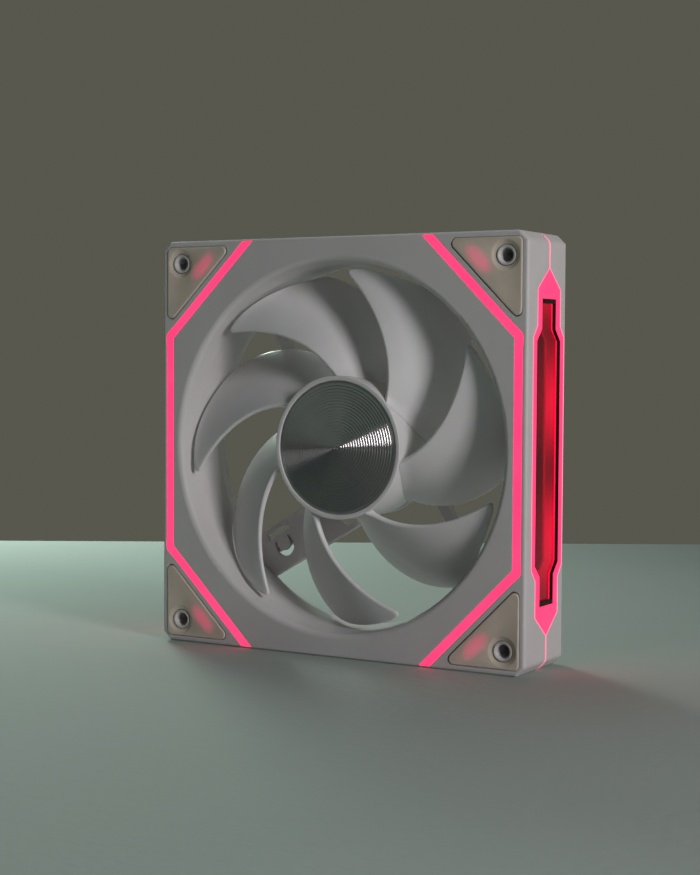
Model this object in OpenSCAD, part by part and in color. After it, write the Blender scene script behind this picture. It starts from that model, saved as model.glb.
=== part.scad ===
// Square case fan with lit front strips and lit mirror panels in its two side faces.
// Millimetres. X runs across the fan, Z is up and Y runs along the axle. The origin is the
// middle of the fan. Air enters the front face, at -Y, and leaves past the struts at +Y.

/* [Frame] */
// Width and height of the square frame
frame_w = 140; // [140:0.5:142]
// Depth of the two frame shells together
frame_d = 29.4; // [29.4:0.1:30]
// Chamfer along the frame's four corners
corner_chamfer = 3; // [2.5:0.5:3.5]
// Radius along the frame's front and rear edges
edge_r = 1; // [0.8:0.1:1.4]
// Place of the joint between the front and rear shells
seam_y = 1.5; // [1.3:0.1:1.7]
// Distance between mounting hole centres
hole_spacing = 124.5; // [124:0.1:125]
// Diameter of the mounting holes
hole_d = 4.4; // [4.2:0.1:4.6]

/* [Air duct] */
// Radius of the duct round the blades
throat_r = 61.2; // [61:0.1:61.4]
// Radius of the duct's mouth in the front face
inlet_r = 64; // [63.8:0.1:64.2]
// Radius of the duct's mouth in the rear face
outlet_r = 63.6; // [63:0.1:64]

/* [Impeller] */
// Number of blades
blade_count = 7; // [5:1:9]
// Radius of the blade tips
tip_r = 59.8; // [59:0.1:60.2]
// Outer radius of the hub
hub_r = 24; // [24:0.1:24.4]
// Thickest part of a blade
blade_t = 2.2; // [1.8:0.1:2.6]
// Angle of the first blade's leading edge at the hub, from +X towards +Z
lead_root_angle = 93.3; // [0:0.1:360]
// How far the leading edge sweeps forward between hub and tip, in degrees
lead_sweep = 47.5; // [40:0.5:52]
// Angle that a blade covers at the hub
root_wrap = 39.3; // [36:0.1:42]
// Angle that a blade covers at the tip
tip_wrap = 36.3; // [30:0.1:38]

/* [Lights] */
// Width of the front light strips
strip_w = 2.9; // [2.7:0.1:3.2]
// Distance from the middle of the fan to the middle of a strip
strip_x = 66.9; // [66.8:0.05:67.1]
// Half height of the upright stretch of a strip
strip_bend_z = 37; // [35:0.5:39]
// Half width of a side light at its waist
side_half = 12.1; // [11.6:0.1:12.2]
// Half height of a side light, tip to middle
side_tip_z = 59; // [57:0.5:59.5]

/* [Struts] */
// Direction of the broad strut that carries the motor leads
lead_strut_angle = 210; // [205:1:215]
// Width of the three plain struts
strut_w = 3.4; // [2.8:0.1:4]
// Sideways distance of each strut's middle from the axle
strut_offset = 14; // [12:0.5:16]

/* [Hidden] */
$fn = 96;
half_w = frame_w / 2;
front_y = -frame_d / 2;
rear_y = frame_d / 2;
hole_at = hole_spacing / 2;
side_wall = 2;
corner_soft = 2.4;
face_wall = 2.4;
duct_wall = 2.4;
post_r = 4.6;
inlet_round = 2;
past = 1; // how far a cut runs past the face that it opens

// Corner pads
pad_proud = 0.3;
pad_depth = 1.4;
pad_edge = 2;
pad_diagonal = 108.5; // x + z along the pad's long edge
pad_round = 1.8;
pad_hole_r = 3.5;
pad_dish_r = 4.6;
pad_dish_depth = 0.6;
boss_r = 3.2;
boss_recess = 0.2;
hole_chamfer = 0.6;

// Front strips
strip_depth = 3.5;
strip_end_z = 69.3;
strip_gap = 0.1;

// Side lights: x from the mirror's face to the frame's side
light_x = 66.6;
shoulder_half = 9;
shoulder_z = 52;
neck_z = 40.4;
waist_z = 36.7;
window_half = 5.5;
window_end_z = 49;
window_waist_half = 9.2;
window_neck_z = 39.3;
window_waist_z = 35.6;
window_x = 68.2;
window_t = 0.6;
bezel_w = 0.3;
bezel_end = 1.5;
bezel_drop = 0.1;
mirror_t = 0.8;
mirror_lap = 1.2;
fin_t = 0.8;
fin_depth = 1.6;
fin_end_x = 62;

// LED boards
front_board_y = -8;
front_board_t = 1;
side_board_x = 62;
side_board_t = 1;
led_t = 0.8;
peg_r = 1;
glow_u = 80.7;
glow_v = 6;
glow_w = 3.6;
glow_l = 8.6;
leg_t = 1.2;
leg_z = 54.6;

// Shell screws, hidden under the rear pads
screw_x = 50.5;
screw_z = 64.3;
screw_boss_r = 2.6;
screw_rib_t = 2;
screw_r = 1;
screw_head_r = 1.9;
screw_head_t = 1.2;
screw_tip_y = -4.6;

// Link sockets in the top and bottom faces
socket_w = 24;
socket_y = 7;
socket_d = 6.4;
socket_depth = 3;
contact_count = 7;
contact_pitch = 3;

// Hub and motor
hub_front_y = -12.9;
hub_rear_y = 9.8;
hub_wall = 1.8;
disc_r = 22.4;
disc_y = -12.6;
disc_t = 0.6;
web_t = 1.2;
yoke_t = 1;
yoke_rear_y = 8;
magnet_t = 2.1;
magnet_y0 = -6;
magnet_y1 = 7;
air_gap = 0.5;
shaft_r = 1.5;
shaft_front_y = -10.4;
shaft_rear_y = 11.85;
groove_y = 8.6;
groove_w = 0.6;
groove_r = 1.2;
bearing_gap = 0.03;
tube_in_r = 4;
tube_out_r = 5;
tube_front_y = -7;
sleeve_rear_y = 8;
seal_t = 0.8;
thrust_t = 0.6;
base_r = 24;
base_floor_y = 12.5;
base_rim_y = 10.6;
core_y = 4;
core_arm_w = 3.4;
coil_count = 6;
coil_in_r = 9.4;
coil_out_r = 14.2;
board_y = 9.2;
board_t = 1;
board_r = 19.5;
label_r = 19;
label_t = 0.3;
lead_count = 4;
lead_r = 0.6;
lead_pitch = 1.25;
lead_offset = 12.8;
lead_start = 11;
lead_length = 54;

// Struts
strut_front_y = 10.8;
broad_lo = 6.2;
broad_hi = 21.8;
rib_t = 1.6;
plate_t = 1.2;
strut_reach = 62.4;
hook_at = 49;
hook_r = 3.9;
hook_v = 8; // from the broad strut's lower edge
tongue_r = 2.6;
tongue_drop = 0.8;
slot_l = 10;
slot_w = 2.4;
slot_v = 1.4;

// Blades
root_r = hub_r - 0.9;
sweep_bow = 0.17; // how much more of the sweep falls in the inner half of the span
mid_wrap = 6;
tip_corner = 5.5; // degrees taken off the leading corner of the tip
corner_s = 0.93;
lead_root_y = -11.4;
trail_root_y = 9.2;
root_camber = 2;
tip_camber = 4;
blade_s = [0, 0.1, 0.2, 0.3, 0.4, 0.5, 0.6, 0.7, 0.8, 0.88, 0.93, 0.965, 0.99, 1];
blade_c = [0, 0.03, 0.1, 0.2, 0.32, 0.45, 0.58, 0.7, 0.82, 0.92, 1];

yoke_r = hub_r - hub_wall - 0.1;
magnet_r = yoke_r - yoke_t;
core_r = magnet_r - magnet_t - air_gap;
disc_back_y = disc_y + disc_t;
web_back_y = disc_back_y + web_t;

// ---------- helpers ----------

// A flat shape drawn as seen from the front, X right and Z up, from y0 back to y1.
module slab(y0, y1) {
    translate([0, y1, 0]) rotate([90, 0, 0]) linear_extrude(y1 - y0) children();
}

// A flat shape drawn in Y and Z, from x0 out to x1.
module side_slab(x0, x1) {
    translate([x0, 0, 0]) rotate([90, 0, 90]) linear_extrude(x1 - x0) children();
}

// A profile of radius and Y, turned about the axle.
module turned() {
    rotate([-90, 0, 0]) rotate_extrude() children();
}

module ring(y0, y1, r_in, r_out) {
    turned() translate([r_in, y0]) square([r_out - r_in, y1 - y0]);
}

module rod(y0, y1, r) {
    slab(y0, y1) circle(r);
}

module at_corner(sx, sz) {
    mirror([sx < 0 ? 1 : 0, 0, 0]) mirror([0, 0, sz < 0 ? 1 : 0]) children();
}

module at_corners() {
    for (sx = [-1, 1], sz = [-1, 1]) at_corner(sx, sz) children();
}

module at_side(sx) {
    mirror([sx < 0 ? 1 : 0, 0, 0]) children();
}

module at_end(sz) {
    mirror([0, 0, sz < 0 ? 1 : 0]) children();
}

function arc(centre, r, from, to, steps) = [
    for (i = [0:steps]) let (a = from + (to - from) * i / steps) centre + r * [cos(a), sin(a)]
];

function spin(p, a) = [p[0] * cos(a) - p[1] * sin(a), p[0] * sin(a) + p[1] * cos(a)];

function mirrored(points) = [for (i = [len(points) - 1:-1:0]) [-points[i][0], points[i][1]]];

// ---------- frame outlines ----------

// The frame as seen from the front, moved in by inset: chamfered corners with soft ends.
module frame_outline(inset = 0) {
    half = half_w - inset;
    cut = corner_chamfer - 0.6 * inset;
    r = max(corner_soft - inset, 0.2);
    back_off = r * tan(22.5);
    corner = concat(
        arc([half - r, half - cut - back_off], r, 0, 45, 4),
        arc([half - cut - back_off, half - r], r, 45, 90, 4)
    );
    polygon([for (k = [0:3]) for (p = corner) spin(p, 90 * k)]);
}

// The frame cut across at the given half width, with rounded front and rear edges.
module edge_section(half) {
    for (sx = [-1, 1], y = [front_y + edge_r, rear_y - edge_r])
        translate([sx * (half - edge_r), y]) circle(edge_r);
    translate([-half, front_y + edge_r]) square([2 * half, frame_d - 2 * edge_r]);
    translate([edge_r - half, front_y]) square([2 * (half - edge_r), frame_d]);
}

module edge_prism(angle, half) {
    rotate([0, angle, 0]) linear_extrude(2 * frame_w, center = true) edge_section(half);
}

// The frame's outer form with nothing cut from it, between y0 and y1.
module frame_block(y0, y1) {
    diagonal_half = (2 * half_w - corner_chamfer) / sqrt(2);
    intersection() {
        slab(y0, y1) frame_outline();
        edge_prism(0, half_w);
        edge_prism(90, half_w);
        edge_prism(45, diagonal_half);
        edge_prism(135, diagonal_half);
    }
}

// Triangular outline of a corner pad, rounded at its three corners, grown by gap.
module pad_outline(gap = 0) {
    edge = half_w - pad_edge;
    r = pad_round + gap;
    inner = edge - pad_round;
    sharp = pad_diagonal + pad_round * sqrt(2) - inner;
    polygon(concat(
        arc([inner, inner], r, 0, 90, 6),
        arc([sharp, inner], r, 90, 225, 9),
        arc([inner, sharp], r, 225, 360, 9)
    ));
}

// Bracket-shaped outline of a front light strip: upright, then 45 degrees in at both ends.
module strip_outline(gap = 0) {
    h = strip_w / 2 + gap;
    bend = h * tan(22.5);
    out_x = strip_x + h;
    in_x = strip_x - h;
    out_z = strip_bend_z + bend;
    in_z = strip_bend_z - bend;
    end_z = strip_end_z + gap;
    polygon([
        [out_x, -out_z], [out_x, out_z], [out_x - (end_z - out_z), end_z],
        [in_x - (end_z - in_z), end_z], [in_x, in_z], [in_x, -in_z],
        [in_x - (end_z - in_z), -end_z], [out_x - (end_z - out_z), -end_z]
    ]);
}

// Outline of a side light, pointed at top and bottom, in Y and Z about the seam.
module side_outline() {
    right = [
        [0, -side_tip_z], [shoulder_half, -shoulder_z], [shoulder_half, -neck_z],
        [side_half, -waist_z], [side_half, waist_z], [shoulder_half, neck_z],
        [shoulder_half, shoulder_z], [0, side_tip_z]
    ];
    left = mirrored(right);
    translate([seam_y, 0]) polygon(concat(right, [for (i = [1:len(left) - 2]) left[i]]));
}

// Outline of the mirror window inside a side light, grown by lap.
module window_outline(lap = 0) {
    n = window_half + lap;
    w = window_waist_half + lap;
    e = window_end_z + lap;
    right = [[n, -e], [n, -window_neck_z], [w, -window_waist_z], [w, window_waist_z],
             [n, window_neck_z], [n, e]];
    translate([seam_y, 0]) polygon(concat(right, mirrored(right)));
}

// Thin light fin that leaves a side light's tip along the seam and turns over the frame's corner.
module fin() {
    slab(seam_y - fin_t / 2, seam_y + fin_t / 2) intersection() {
        difference() {
            frame_outline();
            frame_outline(fin_depth);
        }
        for (sz = [-1, 1]) translate([fin_end_x, sz > 0 ? side_tip_z - 1.5 : -half_w])
            square([half_w - fin_end_x, half_w - side_tip_z + 1.5]);
    }
}

// ---------- frame ----------

// Everything that air and the rotor pass through.
module duct() {
    rotate([-90, 0, 0]) rotate_extrude() difference() {
        polygon([
            [0, front_y - past], [inlet_r, front_y - past], [inlet_r, front_y + inlet_round],
            [inlet_r - inlet_round, front_y + inlet_round], [throat_r, front_y + 8],
            [throat_r, 8], [outlet_r, rear_y], [outlet_r, rear_y + past], [0, rear_y + past]
        ]);
        translate([inlet_r, front_y + inlet_round]) circle(inlet_round);
    }
}

// One hollow half of the frame between y0 and y1, open towards the seam.
module shell(y0, y1, hollow_y0, hollow_y1) {
    difference() {
        frame_block(y0, y1);
        slab(hollow_y0, hollow_y1) difference() {
            frame_outline(side_wall);
            circle(throat_r + duct_wall);
        }
    }
}

// Room for one pad, leaving the boss round the mounting hole. The face is at y, facing out.
module pad_pocket(y, facing) {
    y0 = facing < 0 ? y - past : y - pad_depth;
    y1 = facing < 0 ? y + pad_depth : y + past;
    difference() {
        slab(y0, y1) pad_outline(0.1);
        slab(facing < 0 ? y + boss_recess : y - pad_depth, facing < 0 ? y + pad_depth : y - boss_recess)
            translate([hole_at, hole_at]) circle(boss_r);
    }
}

// Boss for a shell screw, held to the frame's outer wall by a rib.
module screw_boss() {
    translate([screw_x, screw_z]) circle(screw_boss_r);
    translate([screw_x - screw_rib_t / 2, screw_z]) square([screw_rib_t, half_w - 1 - screw_z]);
}

module mounting_hole() {
    mouth = pad_proud + past;
    translate([hole_at, 0, hole_at]) {
        rod(front_y - mouth, rear_y + mouth, hole_d / 2);
        for (facing = [-1, 1]) rotate([facing < 0 ? 90 : -90, 0, 0])
            translate([0, 0, rear_y - boss_recess - hole_chamfer])
                cylinder(h = hole_chamfer, r1 = hole_d / 2, r2 = hole_d / 2 + hole_chamfer);
    }
}

// Cuts that both shells share: side lights, light fins and mounting holes.
module shared_cuts() {
    for (sx = [-1, 1]) at_side(sx) {
        side_slab(light_x, half_w + past) side_outline();
        fin();
    }
    at_corners() mounting_hole();
}

module front_frame() {
    color("gainsboro") difference() {
        union() {
            shell(front_y, seam_y, front_y + face_wall, seam_y + past);
            at_corners() {
                translate([hole_at, 0, hole_at]) rod(front_y + 1, seam_y, post_r);
                slab(screw_tip_y - 1, seam_y) screw_boss();
                front_board_place() for (v = [-9, 9]) translate([77.5, v]) circle(peg_r);
            }
        }
        duct();
        shared_cuts();
        for (sx = [-1, 1]) at_side(sx)
            slab(front_y - past, front_y + strip_depth + 0.1) strip_outline(strip_gap);
        at_corners() {
            pad_pocket(front_y, -1);
            glow_window();
            translate([screw_x, 0, screw_z]) rod(screw_tip_y, seam_y + past, screw_r);
        }
    }
}

// Slot under a front pad that lets one LED shine through the pad.
module glow_window() {
    slab(front_y, front_y + face_wall + past) rotate(45) translate([glow_u, glow_v])
        square([glow_w, glow_l], center = true);
}

// Pegs under a front LED board, drawn in the corner's own diagonal axes.
module front_board_place() {
    slab(front_y + 1, front_board_y - front_board_t) rotate(45) children();
}

module plain_strut(angle) {
    slab(strut_front_y, rear_y) rotate(angle)
        translate([0, strut_offset - strut_w / 2]) square([strut_reach, strut_w]);
}

// The broad strut: a plate between two ribs, open at the back, with its lead hooks.
module lead_strut() {
    slab(strut_front_y, rear_y) rotate(lead_strut_angle) for (v = [broad_lo, broad_hi - rib_t])
        translate([0, v]) square([strut_reach, rib_t]);
    slab(strut_front_y, strut_front_y + plate_t) rotate(lead_strut_angle) difference() {
        polygon([[33, broad_lo], [strut_reach, broad_lo], [strut_reach, broad_hi], [21, broad_hi]]);
        translate([hook_at - slot_l / 2, broad_lo + slot_v]) square([slot_l, slot_w]);
        translate([hook_at, broad_lo + hook_v]) difference() {
            circle(hook_r);
            translate([0, -tongue_drop]) circle(tongue_r);
            translate([-tongue_r, -tongue_drop - hook_r]) square([2 * tongue_r, hook_r]);
        }
    }
    slab(rear_y - plate_t, rear_y) rotate(lead_strut_angle) {
        translate([hook_at - 9, broad_lo]) square([5, 9]);
        translate([hook_at - 9, broad_hi - 5]) square([5, 5]);
    }
}

module motor_base() {
    ring(base_floor_y, rear_y, 0, base_r);
    ring(base_rim_y, base_floor_y, base_r - hub_wall, base_r);
    ring(board_y + board_t, base_floor_y, tube_out_r, tube_out_r + 1.4);
}

module rear_frame() {
    color("gainsboro") difference() {
        union() {
            difference() {
                union() {
                    shell(seam_y, rear_y, seam_y - past, rear_y - face_wall);
                    at_corners() {
                        translate([hole_at, 0, hole_at]) rod(seam_y, rear_y - 1, post_r);
                        slab(seam_y, rear_y - 1) screw_boss();
                    }
                    for (sz = [-1, 1]) at_end(sz) translate([0, socket_y, half_w - socket_depth - 1.4])
                        translate([-socket_w / 2 - 1, -socket_d / 2 - 1, 0])
                            cube([socket_w + 2, socket_d + 2, socket_depth]);
                }
                duct();
            }
            intersection() {
                union() {
                    for (turn = [90, 180, 270]) plain_strut(lead_strut_angle + turn);
                    lead_strut();
                }
                ring(base_rim_y, rear_y, base_r - 1, outlet_r + 1.2);
            }
            motor_base();
        }
        shared_cuts();
        at_corners() {
            pad_pocket(rear_y, 1);
            translate([screw_x, 0, screw_z]) {
                rod(seam_y - past, rear_y, screw_r + 0.1);
                rod(rear_y - pad_depth - screw_head_t, rear_y, screw_head_r + 0.1);
            }
        }
        for (sz = [-1, 1]) at_end(sz) socket_block();
        ring(rear_y - label_t, rear_y + past, 0, label_r);
        rod(tube_front_y, base_floor_y + thrust_t, tube_in_r - 1);
        motor_leads();
    }
}

// ---------- pads ----------

module front_pad(sx, sz) {
    color("darkgray") at_corner(sx, sz) corner_pad();
}

module rear_pad(sx, sz) {
    color("darkgray") at_corner(sx, sz) mirror([0, 1, 0]) corner_pad();
}

module corner_pad() {
    outer = front_y - pad_proud;
    difference() {
        slab(outer, front_y + pad_depth) pad_outline();
        translate([hole_at, 0, hole_at]) {
            rod(outer - past, front_y + pad_depth + past, pad_hole_r);
            rod(outer - past, outer + pad_dish_depth, pad_dish_r);
        }
    }
}

// ---------- lights ----------

module front_light(sx) {
    color("hotpink") at_side(sx) intersection() {
        slab(front_y, front_y + strip_depth) strip_outline();
        frame_block(front_y, front_y + strip_depth);
    }
}

module side_light(sx) {
    color("hotpink") at_side(sx) {
        side_slab(light_x, half_w) difference() {
            side_outline();
            window_outline();
        }
        difference() {
            fin();
            side_slab(light_x, half_w) side_outline();
        }
        for (v = [-1, 1], sz = [-1, 1]) at_end(sz) side_slab(side_board_x + side_board_t, light_x)
            translate([seam_y + 3 * v, leg_z + leg_t / 2]) square(leg_t, center = true);
    }
}

module side_window(sx) {
    color("crimson") at_side(sx) side_slab(window_x, window_x + window_t) window_outline();
}

// Black frame that holds the window in its recess, with a bar across each end.
module side_bezel(sx) {
    bar_z = window_end_z - bezel_end;
    color("black") at_side(sx) side_slab(window_x + window_t, half_w - bezel_drop) difference() {
        window_outline();
        intersection() {
            window_outline(-bezel_w);
            square([2 * half_w, 2 * bar_z], center = true);
        }
    }
}

module side_mirror(sx) {
    color("silver") at_side(sx) side_slab(light_x - mirror_t, light_x) window_outline(mirror_lap);
}

// Board behind the strip's slanting end, in the corner's own diagonal axes.
module front_led_board(sx, sz) {
    color("seagreen") at_corner(sx, sz)
        slab(front_board_y - front_board_t, front_board_y) rotate(45)
            translate([71.6, -12]) square([10.6, 24]);
}

module front_leds() {
    color("white") at_corners()
        slab(front_board_y - front_board_t - led_t, front_board_y - front_board_t) rotate(45) {
            for (v = [-7, 0, 7]) translate([72.2, v - 1.6]) square([2.6, 3.2]);
            translate([glow_u, glow_v]) square([3, 4.4], center = true);
        }
}

module side_led_board(sx, sz) {
    color("seagreen") at_corner(sx, sz) side_slab(side_board_x, side_board_x + side_board_t)
        translate([seam_y - 6, 44]) square([12, 13]);
}

module side_leds() {
    color("white") at_corners()
        side_slab(side_board_x + side_board_t, side_board_x + side_board_t + led_t)
            for (v = [-4.4, 1.2]) translate([seam_y + v, 51.5]) square([3.2, 2.6]);
}

// ---------- fasteners and link sockets ----------

module shell_screws() {
    head_y = rear_y - pad_depth;
    color("dimgray") at_corners() translate([screw_x, 0, screw_z]) difference() {
        union() {
            rod(screw_tip_y, head_y - screw_head_t, screw_r);
            rod(head_y - screw_head_t, head_y, screw_head_r);
        }
        slab(head_y - 0.6, head_y + past) for (a = [0, 90]) rotate(a) square([2.4, 0.6], center = true);
    }
}

module socket_block() {
    translate([-socket_w / 2, socket_y - socket_d / 2, half_w - socket_depth])
        cube([socket_w, socket_d, socket_depth + past]);
}

module contact_cuts() {
    for (i = [0:contact_count - 1])
        translate([(i - (contact_count - 1) / 2) * contact_pitch - 0.8, socket_y - 1.6, 0])
            translate([0, 0, half_w - 1.8]) cube([1.6, 3.2, 0.6]);
}

module link_socket(sz) {
    color("dimgray") at_end(sz) difference() {
        translate([-socket_w / 2, socket_y - socket_d / 2, half_w - socket_depth])
            cube([socket_w, socket_d, socket_depth - 0.3]);
        translate([1 - socket_w / 2, socket_y - socket_d / 2 + 1, half_w - 1.2])
            cube([socket_w - 2, socket_d - 2, 2]);
        contact_cuts();
    }
}

module link_contacts(sz) {
    color("gold") at_end(sz) contact_cuts();
}

// ---------- impeller ----------

// Blade outline by share of the span, s, from 0 at the hub to 1 at the tip.
function sweep_angle(s) = lead_root_angle + lead_sweep * (s + sweep_bow * s * (1 - s));
function wrap(s) = root_wrap + mid_wrap * s - (root_wrap + mid_wrap - tip_wrap) * pow(s, 4);
function lead_angle(s) = sweep_angle(s)
    - tip_corner * (1 - sqrt(1 - pow(max(0, (s - corner_s) / (1 - corner_s)), 2)));
function trail_angle(s) = sweep_angle(s) - wrap(s);
function lead_y(s) = lead_root_y + 0.7 * s * s;
function trail_y(s) = trail_root_y - 3.2 * pow(s, 3);
function camber(s) = root_camber + (tip_camber - root_camber) * s;

// Point of a blade's middle surface; c runs from 0 at the leading edge to 1 at the trailing edge.
function blade_mid(s, c) =
    let (
        r = root_r + (tip_r - root_r) * s,
        a = lead_angle(s) + (trail_angle(s) - lead_angle(s)) * c,
        y = lead_y(s) + (trail_y(s) - lead_y(s)) * c - camber(s) * 4 * c * (1 - c)
    ) [r * cos(a), y, r * sin(a)];

function unit(v) = v / norm(v);
function blade_normal(s, c) =
    let (e = 0.01, s0 = min(max(s, e), 0.9), c0 = min(max(c, e), 1 - e))
    unit(cross(blade_mid(s0 + e, c0) - blade_mid(s0 - e, c0),
               blade_mid(s0, c0 + e) - blade_mid(s0, c0 - e)));

// Half thickness: full near the leading third, thin at the edges and towards the tip.
function half_t(s, c) = blade_t / 2 * (1 - 0.35 * s)
    * (0.3 + 0.7 * sqrt(max(0, 1 - pow(abs(c - 0.35) / 0.66, 2.4))));

module blade() {
    ns = len(blade_s);
    nc = len(blade_c);
    side = [for (up = [1, -1]) [for (s = blade_s) for (c = blade_c)
        blade_mid(s, c) + up * half_t(s, c) * blade_normal(s, c)]];
    points = concat(side[0], side[1]);
    below = ns * nc;
    rim = concat(
        [for (j = [0:nc - 1]) j],
        [for (i = [1:ns - 1]) i * nc + nc - 1],
        [for (j = [nc - 2:-1:0]) (ns - 1) * nc + j],
        [for (i = [ns - 2:-1:1]) i * nc]
    );
    skin = [for (i = [0:ns - 2]) for (j = [0:nc - 2]) let (a = i * nc + j, b = a + nc)
        each [[a, a + 1, b + 1], [a, b + 1, b],
              [below + a, below + b + 1, below + a + 1], [below + a, below + b, below + b + 1]]];
    edge = [for (k = [0:len(rim) - 1]) let (a = rim[k], b = rim[(k + 1) % len(rim)])
        each [[b, a, below + a], [b, below + a, below + b]]];
    polyhedron(points, concat(skin, edge));
}

module hub_shell() {
    inner_r = hub_r - hub_wall;
    turned() polygon([
        [0, disc_back_y], [disc_r, disc_back_y], [disc_r, hub_front_y], [hub_r - 0.4, hub_front_y],
        [hub_r, hub_front_y + 0.4], [hub_r, hub_rear_y], [inner_r, hub_rear_y],
        [inner_r, web_back_y], [0, web_back_y]
    ]);
}

module impeller() {
    color("whitesmoke") {
        hub_shell();
        for (k = [0:blade_count - 1]) rotate([0, k * 360 / blade_count, 0]) blade();
    }
}

module hub_disc() {
    color("dimgray") ring(disc_y, disc_back_y, 0, disc_r);
}

// ---------- rotor and motor ----------

module rotor_yoke() {
    color("silver") {
        turned() polygon([
            [shaft_r, web_back_y], [yoke_r, web_back_y], [yoke_r, yoke_rear_y],
            [yoke_r - yoke_t, yoke_rear_y], [yoke_r - yoke_t, web_back_y + yoke_t],
            [3.2, web_back_y + yoke_t], [3.2, web_back_y + 3], [shaft_r, web_back_y + 3]
        ]);
    }
}

module magnet_ring() {
    color("#333333") ring(magnet_y0, magnet_y1, magnet_r - magnet_t, magnet_r);
}

module rotor_shaft() {
    color("silver") turned() polygon([
        [0, shaft_front_y], [shaft_r, shaft_front_y], [shaft_r, groove_y], [groove_r, groove_y],
        [groove_r, groove_y + groove_w], [shaft_r, groove_y + groove_w],
        [shaft_r, shaft_rear_y - 0.6], [shaft_r - 0.8, shaft_rear_y], [0, shaft_rear_y]
    ]);
}

module retaining_ring() {
    color("ivory") ring(groove_y, groove_y + groove_w, groove_r, 2.4);
}

module bearing_tube() {
    color("goldenrod") ring(tube_front_y, base_floor_y, tube_in_r, tube_out_r);
}

module bearing_sleeve() {
    color("goldenrod") ring(tube_front_y + seal_t, sleeve_rear_y, shaft_r + bearing_gap, tube_in_r);
}

module oil_seal() {
    color("black") ring(tube_front_y, tube_front_y + seal_t, shaft_r + 0.1, tube_in_r);
}

module thrust_pad() {
    color("ivory") ring(shaft_rear_y + 0.05, base_floor_y + thrust_t, 0, tube_in_r - 1);
}

module stator_outline(arm_w, shoe_r) {
    difference() {
        union() {
            circle(8);
            for (k = [0:coil_count - 1]) rotate(k * 360 / coil_count)
                translate([0, -arm_w / 2]) square([shoe_r, arm_w]);
            difference() {
                circle(shoe_r);
                circle(shoe_r - 1.8);
                for (k = [0:coil_count - 1]) rotate((k + 0.5) * 360 / coil_count)
                    translate([0, -0.9]) square([shoe_r + 1, 1.8]);
            }
        }
        circle(tube_out_r);
    }
}

module stator_core() {
    color("slategray") slab(-core_y, core_y) stator_outline(core_arm_w, core_r);
}

module insulator(y0, y1) {
    color("ivory") slab(y0, y1) stator_outline(core_arm_w + 0.8, core_r - 1);
}

module coil(k) {
    h = core_y + 0.8;
    half_arm = core_arm_w / 2 + 0.4;
    color("peru") rotate([0, -k * 360 / coil_count, 0]) difference() {
        side_slab(coil_in_r, coil_out_r) union() {
            square([2 * h + 3, 2 * half_arm + 2], center = true);
            square([2 * h + 1, 2 * half_arm + 4.2], center = true);
        }
        side_slab(coil_in_r - 1, coil_out_r + 1) square([2 * h, 2 * half_arm], center = true);
    }
}

module motor_board() {
    color("seagreen") ring(board_y, board_y + board_t, tube_out_r, board_r);
}

module motor_board_chips() {
    y0 = board_y + board_t;
    color("#222222") {
        slab(y0, y0 + 1.4) translate([-3, 8]) square([6, 5]);
        for (a = [150, 170, 190]) slab(y0, y0 + 1) rotate(a) translate([14, -0.6]) square([2, 1.2]);
        for (a = [15, 45, -30]) slab(y0, y0 + 0.8) rotate(a) translate([10, -0.8]) square([2.6, 1.6]);
    }
}

// Wires from the motor board out along the broad strut into the frame's hollow wall.
module motor_leads() {
    y = base_floor_y + lead_r - 0.5;
    color("lightgray") for (i = [0:lead_count - 1])
        rotate([0, -lead_strut_angle, 0])
            translate([lead_start, 0, lead_offset + (i - (lead_count - 1) / 2) * lead_pitch]) {
                rod(board_y + board_t, y, lead_r);
                translate([0, y, 0]) sphere(lead_r);
                translate([0, y, 0]) rotate([0, 90, 0]) cylinder(h = lead_length, r = lead_r);
            }
}

module rear_label() {
    color("silver") ring(rear_y - label_t, rear_y, 0, label_r);
}

// ---------- nodes ----------

front_frame();
rear_frame();
front_light(-1);  // front_light_left
front_light(1);  // front_light_right
side_light(-1);  // side_light_left
side_light(1);  // side_light_right
side_window(-1);  // side_window_left
side_window(1);  // side_window_right
side_bezel(-1);  // side_bezel_left
side_bezel(1);  // side_bezel_right
side_mirror(-1);  // side_mirror_left
side_mirror(1);  // side_mirror_right
front_pad(-1, 1);  // front_pad_top_left
front_pad(1, 1);  // front_pad_top_right
front_pad(-1, -1);  // front_pad_bottom_left
front_pad(1, -1);  // front_pad_bottom_right
rear_pad(-1, 1);  // rear_pad_top_left
rear_pad(1, 1);  // rear_pad_top_right
rear_pad(-1, -1);  // rear_pad_bottom_left
rear_pad(1, -1);  // rear_pad_bottom_right
front_led_board(-1, 1);  // front_led_board_top_left
front_led_board(1, 1);  // front_led_board_top_right
front_led_board(-1, -1);  // front_led_board_bottom_left
front_led_board(1, -1);  // front_led_board_bottom_right
side_led_board(-1, 1);  // side_led_board_top_left
side_led_board(1, 1);  // side_led_board_top_right
side_led_board(-1, -1);  // side_led_board_bottom_left
side_led_board(1, -1);  // side_led_board_bottom_right
front_leds();
side_leds();
shell_screws();
link_socket(1);  // link_socket_top
link_socket(-1);  // link_socket_bottom
link_contacts(1);  // link_contacts_top
link_contacts(-1);  // link_contacts_bottom
impeller();
hub_disc();
rotor_yoke();
magnet_ring();
rotor_shaft();
retaining_ring();
bearing_tube();
bearing_sleeve();
oil_seal();
thrust_pad();
stator_core();
insulator(-core_y - 0.8, -core_y);  // insulator_front
insulator(core_y, core_y + 0.8);  // insulator_rear
coil(0);  // coil_1
coil(1);  // coil_2
coil(2);  // coil_3
coil(3);  // coil_4
coil(4);  // coil_5
coil(5);  // coil_6
motor_board();
motor_board_chips();
motor_leads();
rear_label();
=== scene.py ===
import math

import bmesh
import bpy
from mathutils import Matrix, Vector


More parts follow.
